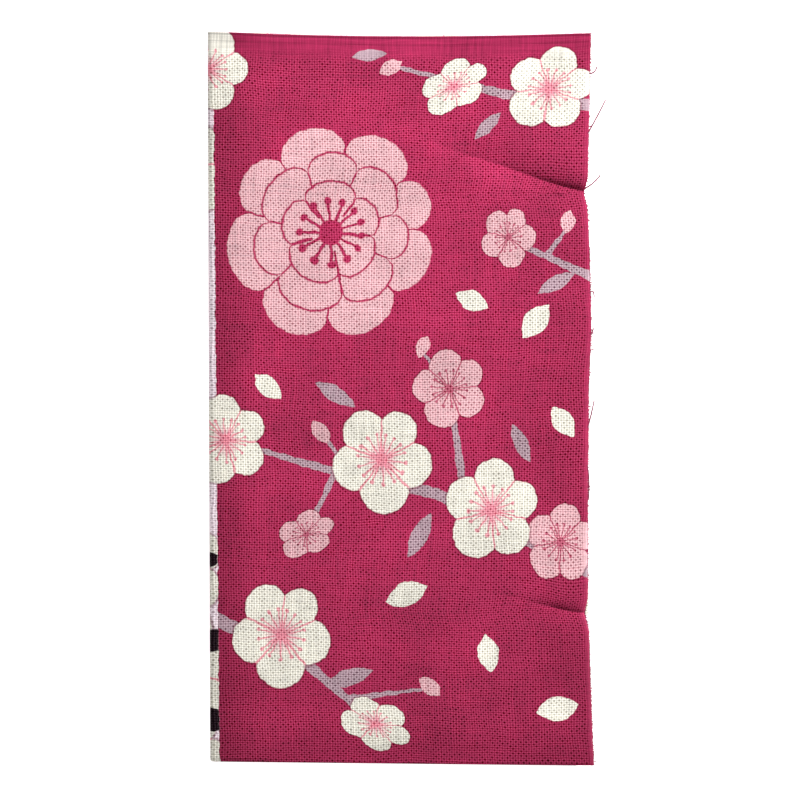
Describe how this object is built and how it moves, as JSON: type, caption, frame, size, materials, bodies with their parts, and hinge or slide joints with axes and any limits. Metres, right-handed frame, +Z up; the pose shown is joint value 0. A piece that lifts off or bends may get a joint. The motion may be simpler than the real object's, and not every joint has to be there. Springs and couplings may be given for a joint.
{
  "type": "folded tenugui towel",
  "caption": "Plain-woven cotton tenugui towel, doubled lengthways and folded to and fro into a slim flat bundle with raw cut ends.",
  "frame": {"origin": "middle of the underside, on the surface that the folded towel lies on", "axes": "+X across the bundle towards the raw cut ends, +Y along it towards the selvedges, +Z up through the front layer"},
  "size_m": [0.0916, 0.1744, 0.0126],
  "materials": {
    "dyed_cotton": "matt plain-woven cotton, dyed magenta with pale blossoms"
  },
  "bodies": {
    "root": {"tenugui": "dyed_cotton"}
  },
  "joints": []
}
